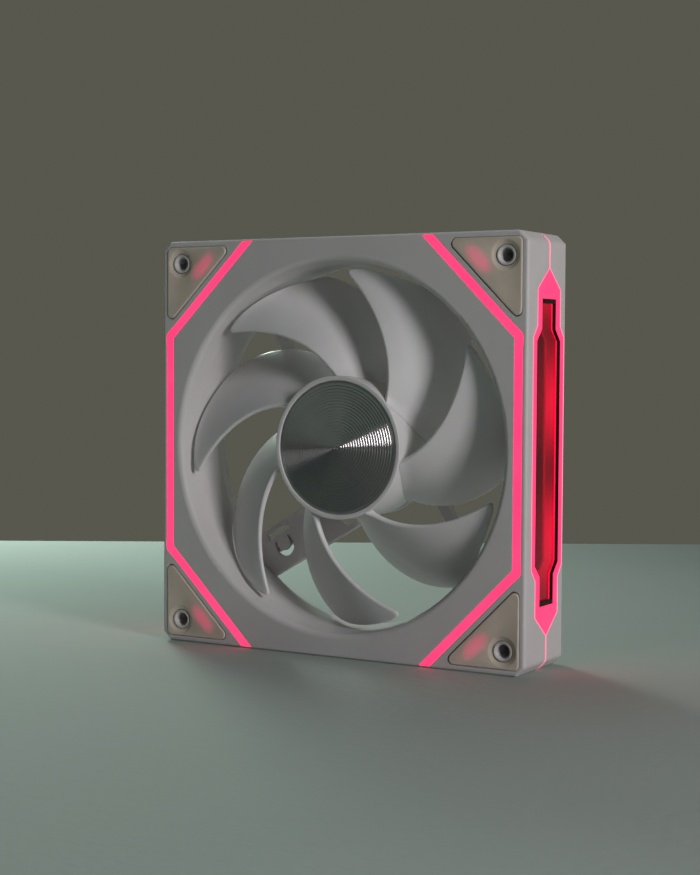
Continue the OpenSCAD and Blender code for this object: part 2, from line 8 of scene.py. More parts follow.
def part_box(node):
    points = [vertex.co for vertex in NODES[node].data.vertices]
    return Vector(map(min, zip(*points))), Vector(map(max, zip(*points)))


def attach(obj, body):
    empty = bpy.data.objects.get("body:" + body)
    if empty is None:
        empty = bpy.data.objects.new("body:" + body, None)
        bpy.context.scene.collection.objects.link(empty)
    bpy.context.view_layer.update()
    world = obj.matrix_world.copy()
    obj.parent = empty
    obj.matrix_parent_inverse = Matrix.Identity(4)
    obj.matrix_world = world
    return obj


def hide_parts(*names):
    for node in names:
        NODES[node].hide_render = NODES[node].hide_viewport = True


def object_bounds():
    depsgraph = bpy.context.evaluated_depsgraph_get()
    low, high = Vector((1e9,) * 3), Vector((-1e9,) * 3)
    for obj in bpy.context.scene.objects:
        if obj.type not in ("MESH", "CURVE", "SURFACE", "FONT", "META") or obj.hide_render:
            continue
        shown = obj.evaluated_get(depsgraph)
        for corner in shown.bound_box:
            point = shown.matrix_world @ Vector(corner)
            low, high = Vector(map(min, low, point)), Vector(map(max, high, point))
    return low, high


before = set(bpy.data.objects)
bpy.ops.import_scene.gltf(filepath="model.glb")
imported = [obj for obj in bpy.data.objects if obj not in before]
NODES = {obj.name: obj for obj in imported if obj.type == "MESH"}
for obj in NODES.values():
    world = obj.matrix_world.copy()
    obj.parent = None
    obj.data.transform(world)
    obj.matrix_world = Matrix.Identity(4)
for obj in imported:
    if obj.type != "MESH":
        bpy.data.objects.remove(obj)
cad_low, cad_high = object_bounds()
MM = 0.001

# ---------- camera ----------

CAMERA_AZIMUTH = 30.40
CAMERA_ELEVATION = 2.70
CAMERA_ROLL = 0.31
CAMERA_DISTANCE = 0.5592
CAMERA_LENS = 69.85
CAMERA_SENSOR = 36
AIM_RIGHT_OF_MIDDLE = 0.0065
AIM_ABOVE_MIDDLE = 0.0037


def add_camera():
    """The camera looks at a point near the middle of the fan's front face."""
    target = Vector((AIM_RIGHT_OF_MIDDLE, cad_low.y, AIM_ABOVE_MIDDLE))
    azimuth = math.radians(CAMERA_AZIMUTH)
    elevation = math.radians(CAMERA_ELEVATION)
    back = Vector((
        math.sin(azimuth) * math.cos(elevation),
        -math.cos(azimuth) * math.cos(elevation),
        math.sin(elevation),
    ))
    data = bpy.data.cameras.new("camera")
    data.lens = CAMERA_LENS
    data.sensor_width = CAMERA_SENSOR
    camera = bpy.data.objects.new("camera", data)
    bpy.context.scene.collection.objects.link(camera)
    camera.location = target + back * CAMERA_DISTANCE
    roll = Matrix.Rotation(math.radians(CAMERA_ROLL), 4, "Z")
    turn = (-back).to_track_quat("-Z", "Y").to_matrix().to_4x4() @ roll
    camera.rotation_euler = turn.to_euler()
    bpy.context.scene.camera = camera


# ---------- node-tree helpers ----------


class Value:
    """A number inside a node tree. Arithmetic on Values adds Math nodes."""

    def __init__(self, tree, socket):
        self.tree = tree
        self.socket = socket

    def _math(self, operation, *others):
        node = self.tree.nodes.new("ShaderNodeMath")
        node.operation = operation
        for i, value in enumerate((self, *others)):
            if isinstance(value, Value):
                self.tree.links.new(value.socket, node.inputs[i])
            else:
                node.inputs[i].default_value = value
        return Value(self.tree, node.outputs[0])

    def __add__(self, other):
        return self._math("ADD", other)

    def __sub__(self, other):
        return self._math("SUBTRACT", other)

    def __mul__(self, other):
        return self._math("MULTIPLY", other)

    def __truediv__(self, other):
        return self._math("DIVIDE", other)

    def __abs__(self):
        return self._math("ABSOLUTE")

    def low(self, other):
        """The lower of two numbers."""
        return self._math("MINIMUM", other)

    def high(self, other):
        """The higher of two numbers."""
        return self._math("MAXIMUM", other)

    def power(self, other):
        return self._math("POWER", other)

    def sine(self):
        return self._math("SINE")

    def smooth(self, start, end):
        """0 where this is at start, 1 where it is at end, with soft ends."""
        node = self.tree.nodes.new("ShaderNodeMapRange")
        node.interpolation_type = "SMOOTHSTEP"
        self.tree.links.new(self.socket, node.inputs["Value"])
        node.inputs["From Min"].default_value = start
        node.inputs["From Max"].default_value = end
        return Value(self.tree, node.outputs["Result"])


def blend_colours(tree, share, first, second):
    """A colour between first and second, by share. Each is a tuple or another colour output."""
    node = tree.nodes.new("ShaderNodeMix")
    node.data_type = "RGBA"
    tree.links.new(share.socket, node.inputs[0])
    for socket, value in ((node.inputs[6], first), (node.inputs[7], second)):
        if isinstance(value, tuple):
            socket.default_value = (*value, 1)
        else:
            tree.links.new(value, socket)
    return node.outputs[2]


class Material:
    """A node material with a Principled shader and short calls for the nodes used here."""

    def __init__(self, name, **inputs):
        self.data = bpy.data.materials.new(name)
        self.data.use_nodes = True
        self.tree = self.data.node_tree
        self.tree.nodes.clear()
        self.output = self.tree.nodes.new("ShaderNodeOutputMaterial")
        self.shader = self.tree.nodes.new("ShaderNodeBsdfPrincipled")
        self.tree.links.new(self.shader.outputs["BSDF"], self.output.inputs["Surface"])
        self.normal = None
        for key, value in inputs.items():
            self.set(key.replace("_", " ").title().replace("Ior", "IOR"), value)

    def set(self, key, value):
        socket = self.shader.inputs[key]
        if isinstance(value, Value):
            self.tree.links.new(value.socket, socket)
        elif hasattr(value, "is_output"):
            self.tree.links.new(value, socket)
        elif isinstance(value, tuple) and len(value) == 3 and socket.type == "RGBA":
            socket.default_value = (*value, 1)
        else:
            socket.default_value = value

    def position(self):
        """The point being shaded, in millimetres in the fan's own frame, as x, y and z."""
        where = self.tree.nodes.new("ShaderNodeTexCoord")
        split = self.tree.nodes.new("ShaderNodeSeparateXYZ")
        self.tree.links.new(where.outputs["Object"], split.inputs[0])
        return [Value(self.tree, split.outputs[i]) * (1 / MM) for i in range(3)]

    def noise(self, size, detail):
        """Noise from 0 to 1 with features of the given size, in metres."""
        where = self.tree.nodes.new("ShaderNodeTexCoord")
        node = self.tree.nodes.new("ShaderNodeTexNoise")
        node.inputs["Scale"].default_value = 1 / size
        node.inputs["Detail"].default_value = detail
        self.tree.links.new(where.outputs["Object"], node.inputs["Vector"])
        return Value(self.tree, node.outputs["Fac"])

    def mix(self, share, first, second):
        return blend_colours(self.tree, share, first, second)

    def soft_edges(self, radius):
        """Shades each edge as if it were rounded with this radius, in metres."""
        node = self.tree.nodes.new("ShaderNodeBevel")
        node.samples = 6
        node.inputs["Radius"].default_value = radius
        self.normal = node.outputs["Normal"]
        self.tree.links.new(self.normal, self.shader.inputs["Normal"])

    def bump(self, height, depth):
        """Raises the surface by height times depth, in metres."""
        node = self.tree.nodes.new("ShaderNodeBump")
        node.inputs["Distance"].default_value = depth
        self.tree.links.new(height.socket, node.inputs["Height"])
        if self.normal is not None:
            self.tree.links.new(self.normal, node.inputs["Normal"])
        self.normal = node.outputs["Normal"]
        self.tree.links.new(self.normal, self.shader.inputs["Normal"])


# ---------- materials ----------

MARK_SHADE = 0.72
CORE_SHEET = 0.35
COIL_WIRE = 0.35
BOARD_TRACKS = 2.6
PINK = (2.4, 0.050, 0.200)
PINK_CLOUD = (2.4, 0.068, 0.225)
PINK_BORDER = (0.80, 0.080, 0.200)
PINK_OUTLINE = (1.5, 0.290, 0.440)
STRIP_X = 66.9
STRIP_BEND_Z = 37.0
STRIP_HALF = 1.45
STRIP_DIAGONAL = STRIP_X + STRIP_BEND_Z
SEAM_Y = 1.5
PANEL_HALF = 12.1
PANEL_HALF_ENDS = 9.0
PANEL_WAIST_Z = 36.7
PANEL_NECK_Z = 40.4
PANEL_SHOULDER_Z = 52.0
PANEL_TIP_Z = 59.0
WINDOW_X = 68.2
PATCH_Z = -28.0
PATCH_PITCH = 44.0
GLOW_FROM_AXLE = 80.7
GLOW_OFF_DIAGONAL = 6.0
GLOW_HALF_WIDTH = 3.0
GLOW_HALF_LENGTH = 6.6
GLOW_BLUR = (1.25, -0.35)


def moulded(name, colour, shade, roughness, grain, depth, edge=0.0003, **more):
    """Moulded plastic: a fine spark-eroded grain, and slight variation in tone and gloss."""
    m = Material(name, **more)
    tone = m.noise(0.02, 3)
    m.set("Base Color", m.mix(tone.smooth(0.35, 0.7), colour, shade))
    m.set("Roughness", m.noise(0.006, 4) * 0.14 + (roughness - 0.07))
    m.soft_edges(edge)
    m.bump(m.noise(grain, 3), depth)
    return m.data


def lit_pink(m, rim, rim_colour, strength=1.0):
    """Makes a light guide glow, with another colour where rim is 1."""
    cloud = m.noise(0.012, 2).smooth(0.3, 0.7) * 0.6
    glow = m.mix(cloud, PINK, PINK_CLOUD)
    m.set("Emission Color", m.mix(rim, glow, rim_colour))
    m.set("Emission Strength", strength)
    m.set("Base Color", (0.30, 0.03, 0.06))
    m.set("Roughness", m.noise(0.002, 3) * 0.1 + 0.34)
    m.set("Specular IOR Level", 0.25)
    m.bump(m.noise(0.0006, 2), 0.000006)
    return m.data


def strip_light():
    """Front strip: bright along its middle, dimmer at both borders."""
    m = Material("strip_light")
    x, y, z = m.position()
    straight = abs(abs(x) - STRIP_X)
    slanted = abs(abs(x) + abs(z) - STRIP_DIAGONAL) * math.sqrt(0.5)
    across = straight.low(slanted)
    return lit_pink(m, across.smooth(STRIP_HALF - 0.5, STRIP_HALF), PINK_BORDER)


def ramp(value, start, at_start, end, at_end):
    """A straight line through two points: at_start where value is start, and so on."""
    slope = (at_end - at_start) / (end - start)
    return value * slope + (at_start - start * slope)


def side_light():
    """Rim of the side panel with a paler outer line, and inner walls lit in patches."""
    m = Material("side_light")
    x, y, z = m.position()
    height = abs(z)
    waist = ramp(height, PANEL_WAIST_Z, PANEL_HALF, PANEL_NECK_Z, PANEL_HALF_ENDS)
    point = ramp(height, PANEL_SHOULDER_Z, PANEL_HALF_ENDS, PANEL_TIP_Z, 0)
    half_width = waist.low(PANEL_HALF).high(PANEL_HALF_ENDS).low(point)
    edge_distance = half_width - abs(y - SEAM_Y)
    patches = ((z - PATCH_Z) * (2 * math.pi / PATCH_PITCH) + math.pi / 2).sine() * 0.4 + 0.6
    inside = abs(x).smooth(WINDOW_X + 0.2, WINDOW_X - 0.2)
    strength = inside * (patches - 1.0) + 1.0
    return lit_pink(m, edge_distance.smooth(0.9, 0.3), PINK_OUTLINE, strength)


def silicone(name, glows):
    """Warm grey silicone that lets light through, with a painted pink LED glow over its LED: pink
    emission and a pink tint in the colour.
    """
    m = Material(
        name, subsurface_weight=0.35, subsurface_scale=0.002, ior=1.41,
        specular_ior_level=0.35,
    )
    tone = m.noise(0.008, 3).smooth(0.3, 0.7)
    colour = m.mix(tone, (0.70, 0.585, 0.497), (0.75, 0.63, 0.54))
    m.set("Subsurface Radius", Vector((1.0, 0.6, 0.4)))
    m.set("Roughness", m.noise(0.003, 3) * 0.16 + 0.42)
    m.bump(m.noise(0.00035, 3), 0.00001)
    if glows:
        # Painted light: the LED's glow through the pad is painted as an oval of pink emission,
        # plus a pink tint in the base colour.
        x, y, z = m.position()
        out = (abs(x) + abs(z)) * math.sqrt(0.5) - GLOW_FROM_AXLE
        along = (abs(z) - abs(x)) * math.sqrt(0.5) - GLOW_OFF_DIAGONAL
        reach = (abs(out) / GLOW_HALF_WIDTH).power(2) + (abs(along) / GLOW_HALF_LENGTH).power(2.5)
        painted_glow = reach.smooth(*GLOW_BLUR)
        m.set("Base Color", m.mix(painted_glow * 0.5, colour, (0.76, 0.30, 0.38)))
        m.set("Emission Color", (1.0, 0.04, 0.18))
        m.set("Emission Strength", painted_glow * 0.33)
    else:
        m.set("Base Color", colour)
    return m.data


def spun_metal():
    """Dark spun aluminium: fine rings that stretch each highlight along a radius, with a painted
    pink reflection cast in its colour.
    """
    m = Material("spun_aluminium", metallic=1.0, anisotropic=1.0, anisotropic_rotation=0.25)
    x, y, z = m.position()
    radius = (x * x + z * z).power(0.5)
    ring = (radius * (2 * math.pi / DISC_RING_PITCH)).sine() * 0.5 + 0.5
    fine = (radius * (2 * math.pi / DISC_FINE_PITCH)).sine() * 0.5 + 0.5
    cloud = m.noise(0.008, 3).smooth(0.3, 0.7)
    # The faint pink cast in these metal colours is painted reflection of the pink lights.
    dark = m.mix(cloud, (0.555, 0.50, 0.51), (0.61, 0.55, 0.56))
    m.set("Base Color", m.mix(ring * 0.12, dark, (0.47, 0.43, 0.44)))
    m.set("Roughness", fine * 0.03 + 0.27)
    tangent = m.tree.nodes.new("ShaderNodeTangent")
    tangent.direction_type = "RADIAL"
    tangent.axis = "Y"
    m.tree.links.new(tangent.outputs[0], m.shader.inputs["Tangent"])
    m.bump(fine, 0.000002)
    return m.data


def half_mirror():
    """Tinted window that passes part of the light and mirrors the rest, from both sides."""
    m = Material("half_mirror", metallic=1.0)
    smear = m.noise(0.01, 3).smooth(0.3, 0.8)
    m.set("Base Color", m.mix(smear, (0.82, 0.80, 0.80), (0.76, 0.74, 0.74)))
    m.set("Roughness", smear * 0.05 + 0.10)
    clear = m.tree.nodes.new("ShaderNodeBsdfTransparent")
    clear.inputs[0].default_value = (0.66, 0.30, 0.46, 1)
    join = m.tree.nodes.new("ShaderNodeMixShader")
    join.inputs[0].default_value = 0.16
    m.tree.links.new(clear.outputs[0], join.inputs[1])
    m.tree.links.new(m.shader.outputs[0], join.inputs[2])
    m.tree.links.new(join.outputs[0], m.output.inputs["Surface"])
    return m.data


def mirror_plate():
    """Silvered plate with a faint haze and a faint painted pink glow."""
    m = Material("mirror_plate", metallic=1.0)
    haze_and_painted_glow = m.noise(0.02, 2).smooth(0.3, 0.7)
    m.set("Base Color", m.mix(haze_and_painted_glow, (0.90, 0.90, 0.91), (0.84, 0.84, 0.86)))
    m.set("Roughness", haze_and_painted_glow * 0.05 + 0.08)
    # Painted light: a faint pink emission on the mirror, a little stronger where the haze is
    # denser.
    m.set("Emission Color", (1.0, 0.03, 0.16))
    m.set("Emission Strength", haze_and_painted_glow * 0.05 + 0.08)
    return m.data


def bezel_black():
    """Black moulded bezel with a faint unevenness."""
    m = Material("bezel_black", specular_ior_level=0.3)
    tone = m.noise(0.003, 3)
    m.set("Base Color", m.mix(tone, (0.012, 0.010, 0.011), (0.020, 0.016, 0.018)))
    m.set("Roughness", tone * 0.15 + 0.4)
    m.bump(tone, 0.000005)
    return m.data


def metal(name, colour, roughness, grain=0.0006):
    """Plain machined or drawn metal with fine marks."""
    m = Material(name, metallic=1.0)
    marks = m.noise(grain, 4)
    dark = tuple(c * MARK_SHADE for c in colour)
    m.set("Base Color", m.mix(marks.smooth(0.3, 0.75), colour, dark))
    m.set("Roughness", marks * 0.2 + (roughness - 0.1))
    m.soft_edges(0.00015)
    m.bump(marks, 0.000012)
    return m.data


def circuit_board():
    """White solder mask with faint copper tracks under it."""
    m = Material("circuit_board")
    x, y, z = m.position()
    tracks = ((x * BOARD_TRACKS).sine() * (z * BOARD_TRACKS).sine()).smooth(0.1, 0.2)
    m.set("Base Color", m.mix(tracks, (0.74, 0.76, 0.72), (0.62, 0.66, 0.58)))
    m.set("Roughness", m.noise(0.002, 3) * 0.15 + 0.3)
    m.bump(tracks, 0.00002)
    return m.data


def copper_coil():
    """Enamelled wire: close turns across the coil."""
    m = Material("copper_wire", metallic=1.0)
    x, y, z = m.position()
    radius = (x * x + z * z).power(0.5)
    turns = (radius * (2 * math.pi / COIL_WIRE)).sine() * 0.5 + 0.5
    m.set("Base Color", m.mix(turns, (0.38, 0.13, 0.05), (0.85, 0.38, 0.18)))
    m.set("Roughness", turns * -0.15 + 0.42)
    m.bump(turns, 0.00008)
    return m.data


def laminated_core():
    """Stacked steel sheets, seen as fine lines across the axle."""
    m = Material("core_steel", metallic=0.9)
    x, y, z = m.position()
    sheet = (y * (2 * math.pi / CORE_SHEET)).sine() * 0.5 + 0.5
    m.set("Base Color", m.mix(sheet, (0.10, 0.11, 0.13), (0.30, 0.32, 0.35)))
    m.set("Roughness", m.noise(0.001, 3) * 0.2 + 0.4)
    m.bump(sheet, 0.00003)
    return m.data


def led_package():
    """LED: white case with a glowing phosphor."""
    m = Material("led_package")
    cloud = m.noise(0.0006, 3)
    m.set("Base Color", m.mix(cloud.smooth(0.4, 0.6), (0.9, 0.85, 0.8), (0.85, 0.75, 0.6)))
    m.set("Roughness", cloud * 0.1 + 0.3)
    m.set("Emission Color", (1.0, 0.12, 0.25))
    m.set("Emission Strength", cloud + 1.5)
    m.bump(cloud, 0.00001)
    return m.data


def paint(material, *names):
    """Gives CAD nodes a material. A name that ends in _ covers every node that it starts."""
    for name, node in NODES.items():
        if name in names or any(name.startswith(n) for n in names if n.endswith("_")):
            node.data.materials.clear()
            node.data.materials.append(material)


def paint_frame():
    """Materials of the frame, its lights and its fasteners."""
    white = moulded(
        "white_abs", (0.685, 0.635, 0.645), (0.655, 0.607, 0.617), 0.52, 0.00045, 0.000014,
        specular_ior_level=0.4,
    )
    paint(white, "front_frame", "rear_frame")
    paint(strip_light(), "front_light_left", "front_light_right")
    paint(side_light(), "side_light_left", "side_light_right")
    paint(half_mirror(), "side_window_left", "side_window_right")
    paint(bezel_black(), "side_bezel_")
    paint(mirror_plate(), "side_mirror_")
    paint(circuit_board(), "front_led_board_", "side_led_board_", "motor_board")
    paint(led_package(), "front_leds", "side_leds")
    paint(metal("screw_steel", (0.20, 0.20, 0.21), 0.4), "shell_screws")
    black = moulded("black_nylon", (0.02, 0.02, 0.021), (0.03, 0.03, 0.03), 0.5, 0.0004, 0.00001)
    paint(black, "link_socket_", "oil_seal", "motor_board_chips")
    paint(metal("gold_plate", (0.90, 0.66, 0.28), 0.25), "link_contacts_")


def paint_motor():
    """Materials of the bearing, the motor and the parts inside the hub."""
    paint(metal("yoke_steel", (0.55, 0.55, 0.56), 0.35), "rotor_yoke")
    paint(metal("shaft_steel", (0.75, 0.75, 0.77), 0.18), "rotor_shaft")
    ferrite = moulded("ferrite", (0.035, 0.034, 0.036), (0.05, 0.05, 0.05), 0.6, 0.0003, 0.00003)
    paint(ferrite, "magnet_ring")
    nylon = moulded("nylon", (0.75, 0.72, 0.62), (0.70, 0.67, 0.57), 0.45, 0.0005, 0.00001)
    paint(nylon, "retaining_ring", "thrust_pad", "insulator_front", "insulator_rear")
    paint(metal("brass", (0.78, 0.58, 0.26), 0.28), "bearing_tube")
    paint(metal("sintered_bronze", (0.45, 0.30, 0.14), 0.5, 0.0002), "bearing_sleeve")
    paint(laminated_core(), "stator_core")
    paint(copper_coil(), "coil_")
    wire = moulded("lead_pvc", (0.70, 0.70, 0.68), (0.62, 0.62, 0.60), 0.35, 0.0008, 0.00001)
    paint(wire, "motor_leads")
    foil = moulded("label_film", (0.55, 0.55, 0.56), (0.50, 0.50, 0.52), 0.38, 0.0015, 0.00001)
    paint(foil, "rear_label")


# ---------- impeller ----------

BLADES = 7
BLADE_T = 2.2
LEAD_ROOT_ANGLE = 93.3
LEAD_SWEEP = 47.5
SWEEP_BOW = 0.17
ROOT_WRAP = 39.3
MID_WRAP = 6.0
TIP_WRAP = 36.3
TIP_CORNER = 5.5
CORNER_S = 0.93
LEAD_ROOT_Y = -11.4
LEAD_TIP_SHIFT = 0.7
TRAIL_ROOT_Y = 9.2
TRAIL_TIP_SHIFT = -3.2
ROOT_CAMBER = 2.0
TIP_CAMBER = 4.0
TIP_R = 59.8
HUB_R = 24.0
HUB_WALL = 1.8
HUB_WEB = 1.2
HUB_ROUND = 0.45
HUB_STEPS = 192
ROOT_R = HUB_R - 0.9
DISC_R = 22.4
DISC_RING_PITCH = 1.0
DISC_RING_DEPTH = 0.18
DISC_SLOPE_END = 0.78
DISC_FLAT_END = 0.84
DISC_FINE_PITCH = 0.26
DISC_DIMPLE = ((0, 0.12), (0.35, 0.09))
DISC_FIRST_RING = 0.7
DISC_BEVEL = 0.3
DISC_BEVEL_DROP = 0.25
DISC_STEPS = 160
FILLET = 1.6
FILLET_RISE = 0.8
EDGE_ROUND = 0.03
THICKEST_AT = 0.35
THICK_REACH = 0.66
THIN_EDGE = 0.3
THIN_TIP = 0.35
SPAN_STEPS = 44
CHORD_STEPS = 40


def sweep_angle(s):
    """Angle of the leading edge, in degrees, from root (0) to tip (1)."""
    return LEAD_ROOT_ANGLE + LEAD_SWEEP * (s + SWEEP_BOW * s * (1 - s))


def blade_middle(s, c):
    """Point of a blade's middle surface, in mm: s runs from root to tip, c from lead to trail."""
    corner = max(0.0, (s - CORNER_S) / (1 - CORNER_S))
    lead = sweep_angle(s) - TIP_CORNER * (1 - math.sqrt(max(0.0, 1 - corner ** 2)))
    wrap = ROOT_WRAP + MID_WRAP * s - (ROOT_WRAP + MID_WRAP - TIP_WRAP) * s ** 4
    trail = sweep_angle(s) - wrap
    lead_y = LEAD_ROOT_Y + LEAD_TIP_SHIFT * s ** 2
    trail_y = TRAIL_ROOT_Y + TRAIL_TIP_SHIFT * s ** 3
    bow = ROOT_CAMBER + (TIP_CAMBER - ROOT_CAMBER) * s
    r = ROOT_R + (TIP_R - ROOT_R) * s
    a = math.radians(lead + (trail - lead) * c)
    y = lead_y + (trail_y - lead_y) * c - bow * 4 * c * (1 - c)
    return Vector((r * math.cos(a), y, r * math.sin(a)))


def blade_normal(s, c):
    """Direction across the blade, from the slopes of its middle surface."""
    e = 0.004
    s = min(max(s, e), 0.94)
    c = min(max(c, e), 1 - e)
    along = blade_middle(s + e, c) - blade_middle(s - e, c)
    across = blade_middle(s, c + e) - blade_middle(s, c - e)
    return along.cross(across).normalized()


def half_thickness(s, c):
    """Thickest a third of the way back, thinner towards the tip, round at the edges."""
    away = abs(c - THICKEST_AT) / THICK_REACH
    body = THIN_EDGE + (1 - THIN_EDGE) * math.sqrt(max(0.0, 1 - away ** 2.4))
    edge = min(1.0, c / EDGE_ROUND, (1 - c) / EDGE_ROUND, (1 - s) / EDGE_ROUND)
    rounding = math.sqrt(max(0.0, 1 - (1 - edge) ** 2))
    r = ROOT_R + (TIP_R - ROOT_R) * s
    root = min(1.0, max(0.0, 1 - (r - HUB_R) / FILLET))
    blade = BLADE_T / 2 * (1 - THIN_TIP * s) * body
    return (blade + FILLET_RISE * root ** 2.2) * rounding


def eased(i, n, share):
    """Steps from 0 to 1 that crowd towards both ends, more so with a larger share."""
    t = i / n
    soft = 0.5 - 0.5 * math.cos(math.pi * t)
    return t + (soft - t) * share


def add_blade(bm, turn):
    """One closed blade: a front sheet and a back sheet that share the points of its rim."""
    sheets = []
    for side in (1, -1):
        rows = []
        for i in range(SPAN_STEPS + 1):
            s = (i / SPAN_STEPS) ** 0.85
            row = []
            for j in range(CHORD_STEPS + 1):
                c = eased(j, CHORD_STEPS, 0.95)
                p = blade_middle(s, c) + blade_normal(s, c) * (side * half_thickness(s, c))
                row.append(bm.verts.new(turn @ (p * MM)))
            rows.append(row)
        sheets.append(rows)
    for side, rows in enumerate(sheets):
        for i in range(SPAN_STEPS):
            for j in range(CHORD_STEPS):
                quad = [rows[i][j], rows[i][j + 1], rows[i + 1][j + 1], rows[i + 1][j]]
                bm.faces.new(quad if side else quad[::-1])


def lathe(profile, steps):
    """Turns a profile of (radius, y) in mm, whose ends lie on the axle, about the axle."""
    bm = bmesh.new()
    rings = []
    for radius, y in profile:
        if radius < 1e-6:
            rings.append([bm.verts.new((0, y * MM, 0))])
            continue
        ring = []
        for k in range(steps):
            a = 2 * math.pi * k / steps
            point = Vector((radius * math.cos(a), y, radius * math.sin(a)))
            ring.append(bm.verts.new(point * MM))
        rings.append(ring)
    for one, two in zip(rings, rings[1:]):
        for k in range(steps):
            n = (k + 1) % steps
            if len(one) == 1:
                bm.faces.new((one[0], two[n], two[k]))
            elif len(two) == 1:
                bm.faces.new((one[k], one[n], two[0]))
            else:
                bm.faces.new((one[k], one[n], two[n], two[k]))
    return bm


def finish_mesh(bm, name, material, smooth_angle=35):
    """Makes an object of a bmesh, smooth except across edges sharper than smooth_angle."""
    bmesh.ops.remove_doubles(bm, verts=bm.verts, dist=0.000001)
    bmesh.ops.recalc_face_normals(bm, faces=bm.faces)
    mesh = bpy.data.meshes.new(name)
    bm.to_mesh(mesh)
    bm.free()
    for face in mesh.polygons:
        face.use_smooth = True
    mesh.set_sharp_from_angle(angle=math.radians(smooth_angle))
    mesh.materials.append(material)
    piece = bpy.data.objects.new(name, mesh)
    bpy.context.scene.collection.objects.link(piece)
    return piece


def rounded(points, radius, steps=5):
    """An open profile with each of its corners turned into an arc."""
    points = [Vector(p) for p in points]
    path = [points[0]]
    for before, corner, after in zip(points, points[1:], points[2:]):
        a = (before - corner).normalized()
        b = (after - corner).normalized()
        reach = min(radius, (before - corner).length / 2.1, (after - corner).length / 2.1)
        start = corner + a * reach
        end = corner + b * reach
        for i in range(steps + 1):
            t = i / steps
            path.append(start * (1 - t) ** 2 + corner * (2 * t * (1 - t)) + end * t ** 2)
    path.append(points[-1])
    return path


def build_impeller():
    """Hub and blades as one moulding."""
    low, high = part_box("impeller")
    front = low.y / MM
    rear = high.y / MM
    disc_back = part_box("hub_disc")[1].y / MM
    web_back = disc_back + HUB_WEB
    profile = rounded([
        (0, disc_back), (DISC_R, disc_back), (DISC_R, front), (HUB_R, front),
        (HUB_R, rear), (HUB_R - HUB_WALL, rear), (HUB_R - HUB_WALL, web_back), (0, web_back),
    ], HUB_ROUND)
    bm = lathe(profile, HUB_STEPS)
    for k in range(BLADES):
        add_blade(bm, Matrix.Rotation(2 * math.pi * k / BLADES, 4, "Y"))
    satin = moulded(
        "satin_blade", (0.785, 0.745, 0.76), (0.755, 0.715, 0.73), 0.36, 0.0007, 0.000006,
        edge=0.0002, subsurface_weight=0.08, subsurface_scale=0.002,
    )
    piece = finish_mesh(bm, "impeller_visual", satin)
    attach(piece, "rotor")
    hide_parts("impeller")


def build_disc():
    """The hub's metal disc, with turned rings and a small dimple in the middle."""
    low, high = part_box("hub_disc")
    front = low.y / MM
    back = high.y / MM
    radius = high.x / MM
    profile = [(r, front + depth) for r, depth in DISC_DIMPLE]
    r = DISC_FIRST_RING
    while r + DISC_RING_PITCH < radius - DISC_BEVEL:
        profile.append((r, front + DISC_RING_DEPTH))
        profile.append((r + DISC_RING_PITCH * DISC_SLOPE_END, front))
        profile.append((r + DISC_RING_PITCH * DISC_FLAT_END, front))
        r += DISC_RING_PITCH
    profile += [(radius - DISC_BEVEL, front), (radius, front + DISC_BEVEL_DROP)]
    profile += [(radius, back), (0, back)]
    piece = finish_mesh(lathe(profile, DISC_STEPS), "hub_disc_visual", spun_metal(), 25)
    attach(piece, "rotor")
    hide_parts("hub_disc")


# ---------- corner pads ----------

PAD_EDGE = 68.0
PAD_DIAGONAL = 108.5
PAD_ROUND = 1.8
PAD_GROOVE = 0.25
PAD_LIP = 0.45
PAD_ARC_STEPS = 10
PAD_HOLE_AT = 62.25
PAD_HOLE_R = 3.5
HOLE_EDGE = 0.15
HOLE_STEPS = 64
DISH_R = 5.1
DISH_DEPTH = 0.7
DISH_STEPS = 9


def quarter(steps):
    """Angles of a quarter turn, in radians."""
    return [math.pi / 2 * i / steps for i in range(steps + 1)]


def pad_loop(bm, inset, y, place):
    """The pad's outline at one height: three arcs whose centres stay where they are."""
    inner = PAD_EDGE - PAD_ROUND
    sharp = PAD_DIAGONAL + PAD_ROUND * math.sqrt(2) - inner + PAD_GROOVE * math.sqrt(2)
    radius = PAD_ROUND - inset
    corners = ((inner, inner, 0, 90), (sharp, inner, 90, 225), (inner, sharp, 225, 360))
    loop = []
    for x, z, start, end in corners:
        for i in range(PAD_ARC_STEPS + 1):
            a = math.radians(start + (end - start) * i / PAD_ARC_STEPS)
            loop.append(bm.verts.new(place(x + radius * math.cos(a), y, z + radius * math.sin(a))))
    return loop


def hole_loop(bm, radius, y, place):
    """A circle round the mounting hole at one height."""
    loop = []
    for i in range(HOLE_STEPS):
        a = 2 * math.pi * i / HOLE_STEPS
        x = PAD_HOLE_AT + radius * math.cos(a)
        z = PAD_HOLE_AT + radius * math.sin(a)
        loop.append(bm.verts.new(place(x, y, z)))
    return loop


def skin(bm, loops):
    """Quads between loops that follow each other."""
    for one, two in zip(loops, loops[1:]):
        n = len(one)
        for i in range(n):
            bm.faces.new((one[i], one[(i + 1) % n], two[(i + 1) % n], two[i]))


def fill_between(bm, outer, inner):
    """Flat face between an outline and a hole."""
    edges = []
    for loop in (outer, inner):
        for i, vert in enumerate(loop):
            after = loop[(i + 1) % len(loop)]
            edge = bm.edges.get((vert, after))
            edges.append(edge if edge else bm.edges.new((vert, after)))
    bmesh.ops.triangle_fill(bm, edges=edges, use_beauty=True)


